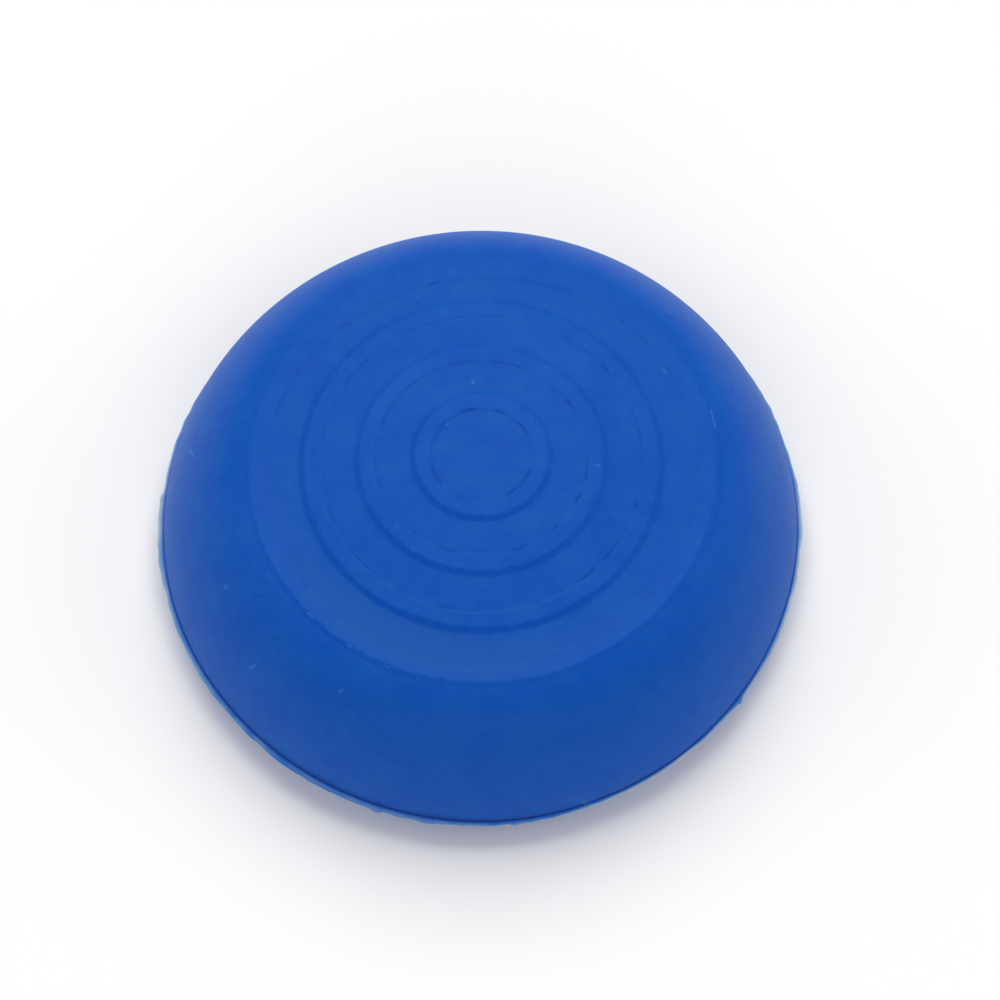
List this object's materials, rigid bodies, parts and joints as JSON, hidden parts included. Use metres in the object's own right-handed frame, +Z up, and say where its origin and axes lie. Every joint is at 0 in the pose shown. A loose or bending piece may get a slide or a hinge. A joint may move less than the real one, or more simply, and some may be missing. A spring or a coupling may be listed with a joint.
{
  "type": "controller thumb grip",
  "caption": "Soft moulded cap that stretches over a controller thumb stick, with a domed, ringed crown and a hollow underside held by an inward lip.",
  "frame": {"origin": "middle of the flat base that the cap stands on", "axes": "+Z up through the crown, along the axis that the cap is round about; +X and +Y are any two directions across it"},
  "size_m": [0.02, 0.02, 0.0066],
  "materials": {
    "silicone": "matte blue silicone"
  },
  "bodies": {
    "root": {"grip_cap": "silicone"}
  },
  "joints": []
}
